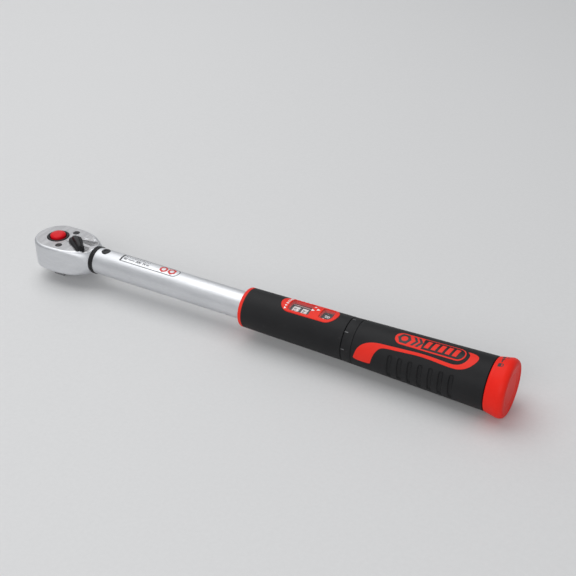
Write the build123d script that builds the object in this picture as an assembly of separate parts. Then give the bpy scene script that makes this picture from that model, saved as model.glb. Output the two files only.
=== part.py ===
from build123d import *
import os
from math import cos, sin, radians

# Click torque wrench, half inch drive. Millimetres.
# +X runs from the square drive to the lock cap, +Z points to the button side.
# The origin is the centre of the square drive, on the head's underside.

# ---- driving dimensions ------------------------------------------------------
SQUARE = 12.7              # across the flats of the drive
SQUARE_LENGTH = 15.0
HEAD_HEIGHT = 28.0
AXIS_Z = HEAD_HEIGHT / 2   # height of the tube's axis
RUNNING = 0.06             # radial clearance of a running fit
GAP = 0.3                  # clearance between parts that pass each other

HEAD_R = 23.8              # round front of the head
HEAD_EDGE = 3.0            # rounding of its top and bottom edges
HEAD_END = 46.8            # where the head's shoulder ends
RAMP_END, RAMP_DEPTH = 45.3, 1.8
NECK_R = 13.8
HEAD_TILT = 2.0            # degrees each way at the click

BORE_R = 11.5              # bore of the tube
TUBE_R = 13.3
TUBE_START, TUBE_END = 51.7, 420.0
PIVOT_X, PIVOT_R = 60.5, 4.5
SHANK_R = 10.6
TAIL_END, TAIL_R, TAIL_HALF = 91.5, 10.2, 8.2

GEAR_TEETH = 72
GEAR_TIP, GEAR_ROOT = 14.4, 13.5
GEAR_LOW, GEAR_TOP = 3.3, 20.0
FLOOR = 3.0                # thickness of the head under the gear
COVER_LOW = 25.4           # underside of the cover plate
HUB_R, RING_R = 11.0, 11.2
BUTTON_R, FLANGE_R = 7.8, 8.9
BUTTON_TRAVEL, BUTTON_PROUD = 2.5, 3.9
PIN_R, WAIST_R = 2.62, 1.7
BALL_R, BALL_PROUD, BALL_Z = 2.2, 0.8, -7.5

LEVER_X = 22.5             # axis of the reversing lever and the pawl
LEVER_ANGLE = 38.0         # degrees off the wrench's axis, each side
STEM_R = 3.0
PAWL_ROCK = 4.0            # degrees each side of the middle
SCREW_X, SCREW_Y, SCREW_R = 12.0, 14.0, 3.7

TRIP_X = 99.5              # round nose that the trip block tilts about
PLUNGER_X0, PLUNGER_X1 = 100.6, 124.0
NUT_X0, NUT_X1 = 262.0, 284.0
NUT_TRAVEL = 8.0
THREAD_R, SPINDLE_R = 6.0, 5.0
SPRING_WIRE_R, SPRING_COIL_R, SPRING_TURNS = 2.1, 8.9, 18

SLEEVE_X0, SLEEVE_X1 = 227.0, 329.5
SLEEVE_R0, SLEEVE_R1 = 19.0, 20.35
SLEEVE_BORE = 17.2
RING_X0 = 223.0            # front of the coloured ring
BEZEL_X0, BEZEL_X1, BEZEL_HALF = 261.0, 318.0, 10.6
BEZEL_PROUD = 0.35
# windows: x from, x to, half width, corner radius at the front and at the back
SCALE_WINDOW = (270.0, 291.5, 8.4, 2.5, 1.2)
FINE_WINDOW = (301.2, 313.4, 7.6, 1.2, 4.4)
SLIDER_R0, SLIDER_R1 = 14.2, 15.8

GRIP_X0, GRIP_X1 = 330.0, 461.9
COLLAR_END = 339.5
GRIP_R = 24.0
CORE_R0, CORE_R1 = 14.4, 17.0
INLAY_DEPTH = 1.8
SLOT_FIRST, SLOT_PITCH, SLOT_COUNT = 376.5, 9.42, 7
CAP_X0, CAP_X1 = 462.4, 479.4
CAP_R = 26.3               # the cap widens to this at its shoulder
DISH = 1.2                 # depth of the hollow in its end
SOFT_EDGE = 0.4            # chamfer where moulded parts meet

LOCK_TRAVEL = 3.0
DOGS = 8

nodes = {}                 # node name -> shape
CENTRED = (Align.CENTER, Align.CENTER, Align.CENTER)
UPRIGHT = (Align.CENTER, Align.CENTER, Align.MIN)


# ---- helpers -----------------------------------------------------------------
def turned(*points):
    """Solid turned about the wrench's axis from (x, radius) corners."""
    profile = make_face(Polyline(*points, close=True))
    return Pos(0, 0, AXIS_Z) * revolve(profile, Axis.X)


def ring_x(x0, x1, outer, inner):
    """Plain ring about the wrench's axis."""
    return turned((x0, inner), (x1, inner), (x1, outer), (x0, outer))


def rod_x(x0, x1, r, y=0.0, z=0.0):
    """Round bar along X, placed from the wrench's axis."""
    bar = Cylinder(r, x1 - x0, align=UPRIGHT)
    return Pos(x0, y, AXIS_Z + z) * Rot(0, 90, 0) * bar


def post(x, y, z0, z1, r):
    """Upright round bar."""
    return Pos(x, y, z0) * Cylinder(r, z1 - z0, align=UPRIGHT)


def block(x0, x1, y0, y1, z0, z1):
    """Box between two corners."""
    size = Box(x1 - x0, y1 - y0, z1 - z0, align=(Align.MIN, Align.MIN, Align.MIN))
    return Pos(x0, y0, z0) * size


def about_axis(shape, angle):
    """Turn a shape about the wrench's axis, from the top towards -Y."""
    return Pos(0, 0, AXIS_Z) * Rot(angle, 0, 0) * Pos(0, 0, -AXIS_Z) * shape


def about_post(shape, x, angle):
    """Turn a shape about an upright axis at x."""
    return Pos(x, 0, 0) * Rot(0, 0, angle) * Pos(-x, 0, 0) * shape


def coil(radius, wire, pitch, height):
    """Round wire wound about +Z from the origin."""
    path = Helix(pitch=pitch, height=height, radius=radius)
    section = Plane(origin=path @ 0, z_dir=path % 0) * Circle(wire)
    return sweep(section, path=path)


def grip_radius(x):
    """Outer radius of the grip, which grows evenly from the seam to the cap."""
    return SLEEVE_R1 + (GRIP_R - SLEEVE_R1) * (x - SLEEVE_X1) / (GRIP_X1 - SLEEVE_X1)


def grip_shell(depth):
    """Outer layer of the grip between collar and cap."""
    x0, x1 = COLLAR_END + 0.1, GRIP_X1
    r0, r1 = grip_radius(x0), grip_radius(x1)
    return turned((x0, r0 - depth), (x1, r1 - depth), (x1, r1), (x0, r0))


def grip_prism(outline, middle):
    """Prism through the grip's skin, from corners (x, degrees from the top)."""
    corners = []
    for x, degrees in outline:
        corners.append((x, -grip_radius(x) * sin(radians(degrees - middle))))
    prism = extrude(make_face(Polyline(*corners, close=True)), amount=30)
    return about_axis(Pos(0, 0, AXIS_Z + 8) * prism, middle)


# ---- ratchet head ------------------------------------------------------------
def head_outline():
    """Plan of the head: round front, straight cheeks, arcs into the neck."""
    cheek = 8.0
    front = ThreePointArc((0, -HEAD_R), (-HEAD_R, 0), (0, HEAD_R))
    far = Line((0, HEAD_R), (cheek, HEAD_R))
    far_arc = TangentArc((cheek, HEAD_R), (HEAD_END, NECK_R), tangent=(1, 0))
    end = Line((HEAD_END, NECK_R), (HEAD_END, -NECK_R))
    near_arc = TangentArc((cheek, -HEAD_R), (HEAD_END, -NECK_R), tangent=(1, 0))
    near = Line((0, -HEAD_R), (cheek, -HEAD_R))
    return make_face([front, far, far_arc, end, near_arc, near])


def gear_profile(grow=0.0):
    """Toothed outline of the drive gear."""
    corners = []
    step = 360 / GEAR_TEETH
    for tooth in range(GEAR_TEETH):
        for radius, turn in ((GEAR_TIP, 0.0), (GEAR_ROOT, 0.5)):
            angle = radians((tooth + turn) * step)
            corners.append(((radius + grow) * cos(angle), (radius + grow) * sin(angle)))
    return make_face(Polyline(*corners, close=True))


def lever_ramp():
    """Shallow trench, deeper towards the neck, that the lever swings over."""
    x0, x1, flare = 15.0, RAMP_END, 45
    low = HEAD_HEIGHT - RAMP_DEPTH
    plan = make_face(Polyline((x0, -4.2), (x1 - 1, -11.8), (x1 - 1, 11.8), (x0, 4.2), close=True))
    ramp = make_face(Polyline((x0, 0), (x1, -RAMP_DEPTH), (x1, 3), (x0, 3), close=True))
    side = Pos(0, 20, HEAD_HEIGHT) * Rot(90, 0, 0) * extrude(ramp, amount=40)
    return extrude(Pos(0, 0, low) * plan, amount=3, taper=-flare) & side


def make_head():
    plan = head_outline()
    body = extrude(plan, amount=HEAD_HEIGHT)
    body = fillet(body.edges().group_by(Axis.Z)[-1], HEAD_EDGE)
    body = fillet(body.edges().group_by(Axis.Z)[0], HEAD_EDGE)
    cone = turned((20, 0), (20, 28), (36, 23.6), (HEAD_END, NECK_R), (HEAD_END, 0))
    body = body & (cone + block(-30, 20.01, -30, 30, -1, HEAD_HEIGHT + 1))
    body += rod_x(HEAD_END - 1, 68, SHANK_R)
    tail = rod_x(67, TAIL_END, TAIL_R)
    reach = AXIS_Z + TAIL_R
    body += tail & block(66, TAIL_END + 1, -TAIL_HALF, TAIL_HALF, -reach, 2 * reach)

    cover = offset(plan, amount=-(HEAD_EDGE + 0.2))
    cover = extrude(Pos(0, 0, COVER_LOW) * cover, amount=HEAD_HEIGHT - COVER_LOW)
    cover = cover & block(-30, 34, -30, 30, 0, 40)
    body -= cover
    body -= post(0, 0, FLOOR, COVER_LOW, GEAR_TIP + 0.6)
    body -= post(0, 0, -1, FLOOR, HUB_R + 0.5 + RUNNING)
    pocket = post(LEVER_X, 0, 6, COVER_LOW, 16.3)
    body -= pocket & block(0, 30, -20, 20, 0, 30)
    body -= post(LEVER_X, 0, FLOOR + 0.3, 7, STEM_R + RUNNING)
    body -= lever_ramp()
    body -= post(PIVOT_X, 0, 0, HEAD_HEIGHT, PIVOT_R + RUNNING)

    screws = []
    for side in (1, -1):
        y = side * SCREW_Y
        hole = post(SCREW_X, y, 19, COVER_LOW + 1, 1.5)
        seat = post(SCREW_X, y, HEAD_HEIGHT - 1.8, HEAD_HEIGHT + 1, SCREW_R)
        shaft = post(SCREW_X, y, 19.5, HEAD_HEIGHT - 1.7, 1.5)
        head = post(SCREW_X, y, HEAD_HEIGHT - 1.8, HEAD_HEIGHT + 0.1, SCREW_R)
        drive = Pos(SCREW_X, y, HEAD_HEIGHT - 1.1) * extrude(RegularPolygon(1.3, 6), amount=2)
        body -= hole
        cover -= seat + post(SCREW_X, y, COVER_LOW - 1, HEAD_HEIGHT, 1.5)
        screws.append(shaft + head - drive)
    cover -= post(0, 0, COVER_LOW - 1, HEAD_HEIGHT + 1, RING_R + 0.2)
    cover -= post(LEVER_X, 0, COVER_LOW - 1, HEAD_HEIGHT + 1, STEM_R + GAP)
    cover -= lever_ramp()
    nodes["ratchet_head"] = body
    nodes["cover_plate"] = cover
    nodes["cover_screws"] = Compound(screws)


def make_drive():
    gear = extrude(Pos(0, 0, GEAR_LOW) * gear_profile(), amount=GEAR_TOP - GEAR_LOW)
    gear += post(0, 0, 0, GEAR_LOW, HUB_R + 0.5)
    gear += post(0, 0, GEAR_TOP, 25.9, HUB_R)
    half = SQUARE / 2
    square = block(-half, half, -half, half, -SQUARE_LENGTH, 0.5)
    square = chamfer(square.edges().group_by(Axis.Z)[0], 0.8)
    square = fillet(square.edges().filter_by(Axis.Z), 0.7)
    gear += square
    gear -= post(0, 0, 16, 27, FLANGE_R + GAP)
    gear -= post(0, 0, BALL_Z - 6, 17, PIN_R + RUNNING)
    ball_x = half + BALL_PROUD - BALL_R
    gear -= rod_x(0, half + 1, BALL_R + RUNNING, z=BALL_Z - AXIS_Z)
    nodes["drive_gear"] = gear
    nodes["drive_ball"] = Pos(ball_x, 0, BALL_Z) * Sphere(BALL_R)

    ring = post(0, 0, 25.9, HEAD_HEIGHT + 0.5, RING_R) - post(0, 0, 25, 30, BUTTON_R + GAP)
    nodes["button_ring"] = chamfer(ring.edges().group_by(Axis.Z)[-1], 0.4)

    top = HEAD_HEIGHT + BUTTON_PROUD
    button = post(0, 0, 23.2, 25.7, FLANGE_R) + post(0, 0, 25, top, BUTTON_R)
    button = fillet(button.edges().group_by(Axis.Z)[-1], 2.6)
    nodes["release_button"] = button

    # the waist lets the ball drop in as the pin comes down
    low, high = BALL_Z - 3, 23.2
    profile = Polyline((0, low), (PIN_R, low), (PIN_R, BALL_Z), (WAIST_R, BALL_Z + 2.5),
                       (WAIST_R, BALL_Z + 5.5), (PIN_R, BALL_Z + 6.5), (PIN_R, high),
                       (0, high), close=True)
    nodes["release_pin"] = revolve(Plane.XZ * make_face(profile), Axis.Z)
    spring = coil(5.6, 0.45, 1.35, 6.0)
    nodes["release_spring"] = Pos(0, 0, 16.5) * spring


def make_lever():
    """Lever and its stem, drawn pointing along +X and turned to the rest side."""
    under = HEAD_HEIGHT + 0.2
    wedge = make_hull((Circle(6.3) + Pos(15.8, 0) * Circle(4.7)).edges())
    lever = Pos(LEVER_X, 0, under) * extrude(wedge, amount=3.4)
    lever = fillet(lever.edges().group_by(Axis.Z)[-1], 1.6)
    ridge = make_hull((Pos(-4, 0) * Circle(1.7) + Pos(17.6, 0) * Circle(1.7)).edges())
    lever += Pos(LEVER_X, 0, under) * extrude(ridge, amount=5.5)
    lever = about_post(lever, LEVER_X, -LEVER_ANGLE)
    nodes["reverse_lever"] = lever

    stem = post(LEVER_X, 0, FLOOR + 0.5, under, STEM_R)
    mid = 12.0
    stem -= rod_x(LEVER_X - 4, LEVER_X + 1.5, 1.1, z=mid - AXIS_Z)
    nodes["lever_stem"] = stem
    nodes["detent_ball"] = Pos(LEVER_X - 1.95, 0, mid) * Sphere(1.0)
    spring = ring_x(LEVER_X - 0.9, LEVER_X + 1.45, 0.9, 0.5)
    nodes["detent_spring"] = Pos(0, 0, mid - AXIS_Z) * spring


def pawl_arm(side):
    """Toothed end of the pawl, before the teeth are cut."""
    start, sweep_angle = (30, 14) if side > 0 else (-44, 14)
    inner = CenterArc((0, 0), 14.35, start, sweep_angle)
    outer = CenterArc((0, 0), 18.6, start, sweep_angle)
    return make_face([inner, Line(inner @ 1, outer @ 1), outer, Line(outer @ 0, inner @ 0)])


def make_pawl():
    """Rocking pawl: one end is in the gear and the other stands clear."""
    inner = CenterArc((0, 0), 15.5, -32, 64)
    outer = CenterArc((0, 0), 18.6, -32, 64)
    bow = make_face([inner, Line(inner @ 1, outer @ 1), outer, Line(outer @ 0, inner @ 0)])
    plan = bow + pawl_arm(1) + pawl_arm(-1) + Pos(LEVER_X, 0) * Circle(5.6)
    plan += Pos(LEVER_X - 3, 0) * Rectangle(5, 9)
    low, high = 6.3, GEAR_TOP - 0.2
    pawl = extrude(Pos(0, 0, low) * plan, amount=high - low)
    pawl -= post(LEVER_X, 0, 0, 30, STEM_R + RUNNING)
    teeth = extrude(gear_profile(0.07), amount=30)
    pawl = about_post(pawl, LEVER_X, -PAWL_ROCK) - teeth
    pawl = about_post(pawl, LEVER_X, 2 * PAWL_ROCK) - teeth
    nodes["pawl"] = pawl


# ---- tube and click mechanism ------------------------------------------------
def make_tube():
    tube = ring_x(TUBE_START, TUBE_END, TUBE_R, BORE_R)
    tube -= post(PIVOT_X, 0, -5, 35, PIVOT_R)
    slot_x0, slot_x1 = 258.5, 278.5
    tube -= block(slot_x0, slot_x1, -2.7, 2.7, AXIS_Z + 5, AXIS_Z + 20)
    nodes["tube"] = tube
    ring = ring_x(HEAD_END + 0.8, TUBE_START, 14.0, SHANK_R + 1.2)
    nodes["neck_ring"] = chamfer(ring.edges().filter_by(GeomType.CIRCLE).group_by(Axis.X)[0][0:1], 0.3)
    pin = post(PIVOT_X, 0, AXIS_Z - TUBE_R - 0.3, AXIS_Z + TUBE_R + 0.5, PIVOT_R)
    nodes["pivot_pin"] = chamfer(pin.edges().group_by(Axis.Z)[-1], 0.5)
    label = ring_x(80.5, 148.0, TUBE_R + 0.15, TUBE_R)
    nodes["tube_label"] = label & block(80, 149, -6, 6, AXIS_Z, AXIS_Z + 20)


def make_click():
    """Trip block, plunger and spring behind the shank's tail."""
    block_x1, size = 99.7, 7.0
    half = size / 2
    trip = block(block_x1 - size, block_x1, -half, half, AXIS_Z - half, AXIS_Z + half)
    trip = chamfer(trip.edges(), 0.4)
    nose = post(TRIP_X, 0, AXIS_Z - half + 0.4, AXIS_Z + half - 0.4, 0.8)
    nodes["trip_block"] = trip + nose
    plunger = rod_x(PLUNGER_X0, PLUNGER_X1, BORE_R - RUNNING) + rod_x(PLUNGER_X1 - 1, 133, 6.2)
    nodes["plunger"] = plunger
    start, end = PLUNGER_X1 + 0.2, NUT_X0 - 0.2
    height = end - start - 2 * SPRING_WIRE_R
    spring = coil(SPRING_COIL_R, SPRING_WIRE_R, height / SPRING_TURNS, height)
    nodes["main_spring"] = Pos(start + SPRING_WIRE_R, 0, AXIS_Z) * Rot(0, 90, 0) * spring


def make_adjuster():
    """Nut on the spindle, the scale it carries, and the thrust bearing."""
    nut = ring_x(NUT_X0, NUT_X1, BORE_R - RUNNING, THREAD_R + 0.1)
    arm = block(268, 277, -2.4, 2.4, AXIS_Z + 8, AXIS_Z + SLIDER_R0)
    nut += arm & rod_x(267, 278, SLIDER_R0)
    nodes["adjusting_nut"] = nut
    slider = ring_x(267.5, 300.0, SLIDER_R1, SLIDER_R0)
    nodes["scale_slider"] = slider & block(260, 301, -9, 9, AXIS_Z + 5, AXIS_Z + 20)

    collar_x, bearing_x = 300.0, 304.1
    spindle = rod_x(258, collar_x + 1, THREAD_R) + rod_x(collar_x, collar_x + 4, 9.5)
    spindle += rod_x(collar_x + 3, 426, SPINDLE_R)
    spindle += block(425, 448, -3.4, 3.4, AXIS_Z - 3.4, AXIS_Z + 3.4)
    nodes["spindle"] = spindle
    nodes["front_race"] = ring_x(bearing_x, bearing_x + 1.2, 10.6, 6.2)
    balls = []
    for index in range(12):
        angle = radians(index * 30)
        place = Pos(bearing_x + 2.8, 8.4 * sin(angle), AXIS_Z + 8.4 * cos(angle))
        balls.append(place * Sphere(1.5))
    nodes["bearing_balls"] = Compound(balls)
    nodes["rear_race"] = ring_x(bearing_x + 4.4, bearing_x + 5.6, 10.6, 6.2)
    nodes["bearing_housing"] = ring_x(bearing_x + 5.6, 330, BORE_R, SPINDLE_R + 0.08)


def make_lock():
    """Notched plug in the tube's end and the ring that drops into it."""
    face = TUBE_END + 4
    plug = ring_x(404, TUBE_END, BORE_R, SPINDLE_R + 0.08)
    plug += ring_x(TUBE_END, face, 13.0, SPINDLE_R + 0.08)
    ring_x0 = face + 3.0
    ring = ring_x(ring_x0, ring_x0 + 6, 13.4, 6.6)
    for dog in range(DOGS):
        angle = dog * 360 / DOGS
        notch = block(face - 2.9, face + 1, -1.6, 1.6, AXIS_Z + 7, AXIS_Z + 15)
        tooth = block(face + 0.4, ring_x0 + 1, -1.3, 1.3, AXIS_Z + 7.2, AXIS_Z + 12.6)
        plug -= about_axis(notch, angle)
        ring += about_axis(tooth, angle)
    for leg in (0, 120, 240):
        ring += about_axis(rod_x(ring_x0 + 5, 456.3, 1.4, z=10.2), leg)
    nodes["tube_plug"] = plug
    nodes["lock_ring"] = ring


# ---- sleeve with its windows -------------------------------------------------
def sleeve_radius(x):
    return SLEEVE_R0 + (SLEEVE_R1 - SLEEVE_R0) * (x - SLEEVE_X0) / (SLEEVE_X1 - SLEEVE_X0)


def window_block(window):
    """Upright prism through a window, with its own corner radii at each end."""
    x0, x1, half, front_r, back_r = window
    corners = Sketch()
    for side in (1, -1):
        corners += Pos(x0 + front_r, side * (half - front_r)) * Circle(front_r)
        corners += Pos(x1 - back_r, side * (half - back_r)) * Circle(back_r)
    plan = make_hull(corners.edges())
    return Pos(0, 0, AXIS_Z + 5) * extrude(plan, amount=25)


def bezel_block():
    """Upright prism through the bezel's opening, round at both ends."""
    plan = SlotOverall(BEZEL_X1 - BEZEL_X0, 2 * BEZEL_HALF)
    middle = (BEZEL_X0 + BEZEL_X1) / 2
    return Pos(middle, 0, AXIS_Z + 5) * extrude(plan, amount=25)


def make_sleeve():
    shell = turned((SLEEVE_X0, TUBE_R), (SLEEVE_X0 + 13, TUBE_R), (SLEEVE_X0 + 13, SLEEVE_BORE),
                   (SLEEVE_X1, SLEEVE_BORE), (SLEEVE_X1, SLEEVE_R1 - SOFT_EDGE),
                   (SLEEVE_X1 - SOFT_EDGE, SLEEVE_R1), (SLEEVE_X0, SLEEVE_R0))
    bezel_r0, bezel_r1 = sleeve_radius(BEZEL_X0), sleeve_radius(BEZEL_X1)
    bezel = turned((BEZEL_X0 - 1, SLEEVE_BORE), (BEZEL_X1 + 1, SLEEVE_BORE),
                   (BEZEL_X1 + 1, bezel_r1 + BEZEL_PROUD), (BEZEL_X0 - 1, bezel_r0 + BEZEL_PROUD))
    nodes["front_sleeve"] = shell - bezel_block()
    bezel = bezel & bezel_block()
    for name, window in (("scale_lens", SCALE_WINDOW), ("fine_lens", FINE_WINDOW)):
        opening = window_block(window)
        bezel -= opening
        lens = ring_x(window[0] - 1, window[1] + 1, sleeve_radius(window[0]) - 0.2, SLEEVE_BORE + 0.4)
        nodes[name] = lens & opening
    nodes["window_bezel"] = bezel
    ring = ring_x(RING_X0, SLEEVE_X0, SLEEVE_R0, TUBE_R)
    nodes["sleeve_ring"] = fillet(ring.edges().filter_by(GeomType.CIRCLE).group_by(Axis.X)[0][0:1], 0.6)


# ---- rotating grip -----------------------------------------------------------
SWOOSH_BAND = [
    (352, 50), (358, 44), (362, 41), (370, 40.5), (380, 39), (390, 37.5), (400, 36), (410, 36),
    (420, 37.5), (430, 38.5), (433, 38), (437, 34), (440, 27), (441.5, 18), (441.5, 8),
    (440, 2), (438, -2), (441, -3), (447, 0), (449.5, 6), (449.5, 15), (448, 25), (445, 35),
    (441, 42), (437, 46), (430, 47), (420, 45.5), (410, 43.5), (400, 43), (390, 45),
    (380, 47), (370, 48.5), (367, 51)]
SWOOSH_FOOT = [
    (353, 48), (367, 49), (364, 58), (362, 68), (360.5, 80), (359.5, 92), (359, 100),
    (342, 100), (343.5, 85), (345, 70), (348, 58)]


def badge_prism():
    """Pill that the badge fills, a little off the top towards -Y."""
    x0, x1, half, middle = 374.5, 438.5, 7.1, 11.0
    plan = SlotOverall(x1 - x0, 2 * half)
    prism = Pos((x0 + x1) / 2, 0, AXIS_Z + 8) * extrude(plan, amount=30)
    return about_axis(prism, middle)


def finger_slot(x):
    """Shallow rounded groove round the near side, closed at both ends."""
    ball_r, lift, first, last = 3.2, 2.3, 65.0, 118.0
    r = grip_radius(x) + lift
    ring = Pos(x, 0, AXIS_Z) * Rot(0, 90, 0) * Torus(r, ball_r)
    below_first = Pos(0, 0, AXIS_Z) * Rot(first, 0, 0) * block(x - 5, x + 5, -40, 0, 0, 40)
    above_last = Pos(0, 0, AXIS_Z) * Rot(last - 90, 0, 0) * block(x - 5, x + 5, -40, 0, 0, 40)
    groove = ring & below_first & above_last
    for angle in (first, last):
        groove += about_axis(Pos(x, 0, AXIS_Z + r) * Sphere(ball_r), angle)
    return groove


def make_grip():
    core = ring_x(GRIP_X0 + 0.2, GRIP_X1, CORE_R1, CORE_R0)
    core -= ring_x(455.9, 457.3, 15.4, CORE_R0 - 1)
    drum = ring_x(301.8, GRIP_X0 + 0.2, SLIDER_R1, TUBE_R + GAP)
    drum += ring_x(GRIP_X0, GRIP_X0 + 4, CORE_R0, TUBE_R + GAP)
    nodes["fine_scale_drum"] = drum
    collar_r = grip_radius(COLLAR_END)
    nodes["seam_collar"] = turned((GRIP_X0, CORE_R1), (COLLAR_END, CORE_R1),
                                  (COLLAR_END, collar_r - SOFT_EDGE),
                                  (COLLAR_END - SOFT_EDGE, collar_r), (GRIP_X0 + SOFT_EDGE, SLEEVE_R1),
                                  (GRIP_X0, SLEEVE_R1 - SOFT_EDGE))
    start, edge = COLLAR_END + 0.1, GRIP_X1 - SOFT_EDGE
    cover = turned((start, CORE_R1), (GRIP_X1, CORE_R1), (GRIP_X1, GRIP_R - SOFT_EDGE),
                   (edge, grip_radius(edge)), (start, grip_radius(start)))
    shell = grip_shell(INLAY_DEPTH)
    band, foot = grip_prism(SWOOSH_BAND, 25), grip_prism(SWOOSH_FOOT, 75)
    nodes["grip_inlay"] = (shell & band) + (shell & foot)
    nodes["grip_badge"] = shell & badge_prism()
    cover = cover - (shell & band) - (shell & foot) - nodes["grip_badge"]
    for index in range(SLOT_COUNT):
        cover -= finger_slot(SLOT_FIRST + index * SLOT_PITCH)
    nodes["grip_cover"] = cover

    pins = []
    hub = rod_x(438.5, 450, CORE_R0) - block(430, 460, -3.45, 3.45, AXIS_Z - 3.45, AXIS_Z + 3.45)
    for leg in (0, 120, 240):
        hub -= about_axis(rod_x(430, 460, 1.75, z=10.2), leg)
    for side in (90, -90):
        pin = about_axis(post(444.2, 0, AXIS_Z + 6, AXIS_Z + CORE_R1 - 0.2, 1.8), side)
        hub -= pin
        core -= pin
        pins.append(pin)
    nodes["drive_hub"] = hub
    nodes["hub_pins"] = Compound(pins)
    nodes["grip_core"] = core
    nodes["front_bush"] = ring_x(335, 343, CORE_R0, TUBE_R + RUNNING)
    nodes["rear_bush"] = ring_x(408, 416, CORE_R0, TUBE_R + RUNNING)


def make_cap():
    """Cap that widens towards its round shoulder, with a groove and a dish in its end."""
    boss_r = CORE_R0 - 0.1
    shoulder, rim = (474, CAP_R), (CAP_X1, 22.5)
    side = Line((CAP_X0, GRIP_R), shoulder)
    corner = TangentArc(shoulder, rim, tangent=side % 1)
    end = Polyline(rim, (CAP_X1 - 0.5, 22.0), (CAP_X1, 21.5), (CAP_X1 - DISH, 0), (475, 0))
    inside = Polyline((475, 0), (475, 18), (471.5, 22), (464.8, 21.6), (464.8, 12.2),
                      (453, 12.2), (453, boss_r), (CAP_X0, boss_r), (CAP_X0, GRIP_R))
    profile = make_face([side, corner, end, inside])
    cap = Pos(0, 0, AXIS_Z) * revolve(profile, Axis.X)
    cap -= ring_x(455.9, 457.3, 16, 13.8)
    nodes["lock_cap"] = cap
    nodes["cap_retainer"] = ring_x(456.0, 457.2, 15.3, 13.9)


for make in (make_head, make_drive, make_lever, make_pawl, make_tube, make_click,
             make_adjuster, make_lock, make_sleeve, make_grip, make_cap):
    make()

os.makedirs("parts", exist_ok=True)
for name, shape in nodes.items():
    export_step(shape, f"parts/{name}.step")
print(len(nodes), "nodes")
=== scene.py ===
from math import atan2, cos, hypot, pi, radians, sin, sqrt

import bmesh
import bpy
from mathutils import Matrix, Vector


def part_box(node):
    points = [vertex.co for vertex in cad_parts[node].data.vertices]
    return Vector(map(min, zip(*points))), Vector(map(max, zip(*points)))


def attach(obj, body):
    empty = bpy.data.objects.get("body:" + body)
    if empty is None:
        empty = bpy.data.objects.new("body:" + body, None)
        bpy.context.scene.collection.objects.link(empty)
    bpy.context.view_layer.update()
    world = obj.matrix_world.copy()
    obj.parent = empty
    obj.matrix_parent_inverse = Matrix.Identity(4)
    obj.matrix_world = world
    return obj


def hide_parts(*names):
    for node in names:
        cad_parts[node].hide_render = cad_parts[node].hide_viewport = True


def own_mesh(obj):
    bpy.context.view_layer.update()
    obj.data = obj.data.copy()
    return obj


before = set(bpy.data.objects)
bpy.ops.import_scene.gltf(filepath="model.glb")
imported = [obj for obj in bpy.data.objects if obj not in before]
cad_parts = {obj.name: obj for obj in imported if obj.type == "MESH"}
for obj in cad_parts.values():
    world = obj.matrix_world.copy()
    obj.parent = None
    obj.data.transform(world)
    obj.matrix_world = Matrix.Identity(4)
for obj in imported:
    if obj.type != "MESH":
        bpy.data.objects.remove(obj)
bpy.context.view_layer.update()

MM = 0.001  # sizes below are in millimetres, meshes in metres
INK = 0.06  # thickness of printed marks


# ---- places and sizes read from the frame ----
def box_mm(node):
    """Lowest and highest corner of a CAD node, in millimetres."""
    low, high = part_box(node)
    return low / MM, high / MM


def span_x(node):
    low, high = box_mm(node)
    return low.x, high.x


def radius_of(node):
    """Outer radius of a part that is round about the wrench's axis."""
    low, high = box_mm(node)
    return (high.y - low.y) / 2


TUBE_LOW, TUBE_HIGH = box_mm("tube")
AXIS = (TUBE_LOW.z + TUBE_HIGH.z) / 2  # height of the wrench's axis
TUBE_R = radius_of("tube")
HEAD_LOW, HEAD_HIGH = box_mm("ratchet_head")
HEAD_R = -HEAD_LOW.x
HEAD_TOP = HEAD_HIGH.z
NECK_X0, NECK_X1 = span_x("neck_ring")
LEVER_PIVOT = (box_mm("lever_stem")[0] + box_mm("lever_stem")[1]) / 2
RING_R = radius_of("button_ring")
BUTTON_R = 7.8
SLEEVE_X0, SLEEVE_X1 = span_x("front_sleeve")
SLEEVE_R0, SLEEVE_R1 = radius_of("sleeve_ring"), radius_of("front_sleeve")
COLLAR_X0, COLLAR_X1 = span_x("seam_collar")
GRIP_X0, GRIP_X1 = span_x("grip_cover")
GRIP_R1 = radius_of("grip_cover")
BEZEL_X0, BEZEL_X1 = span_x("window_bezel")
BEZEL_HALF = radius_of("window_bezel")
CAP_HIGH = box_mm("lock_cap")[1].x
CAP_R = radius_of("lock_cap")


def skin_radius(x):
    """Outer radius of sleeve and grip, which swell evenly towards the cap."""
    if x < SLEEVE_X1:
        return SLEEVE_R0 + (SLEEVE_R1 - SLEEVE_R0) * (x - SLEEVE_X0) / (SLEEVE_X1 - SLEEVE_X0)
    return SLEEVE_R1 + (GRIP_R1 - SLEEVE_R1) * (x - SLEEVE_X1) / (GRIP_X1 - SLEEVE_X1)


def on_skin(lift):
    """Radius function of a surface that lies this far above the skin."""
    return lambda x: skin_radius(x) + lift


# ---- making meshes ----
def new_piece(name, mesh):
    piece = bpy.data.objects.new(name, mesh)
    bpy.context.scene.collection.objects.link(piece)
    return piece


def mesh_from(name, corners, faces, edges=()):
    mesh = bpy.data.meshes.new(name)
    mesh.from_pydata([Vector(c) * MM for c in corners], edges, faces)
    mesh.update()
    return mesh


def shifted(x, y, z):
    return Matrix.Translation(Vector((x, y, z)) * MM)


def set_all(thing, **settings):
    for key, value in settings.items():
        setattr(thing, key, value)
    return thing


def add_modifier(piece, kind, **settings):
    set_all(piece.modifiers.new(kind.title(), kind), **settings)


def round_edges(piece, width, angle=30):
    add_modifier(piece, "BEVEL", width=width * MM, segments=3, limit_method="ANGLE",
                 angle_limit=radians(angle), use_clamp_overlap=True)


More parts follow.
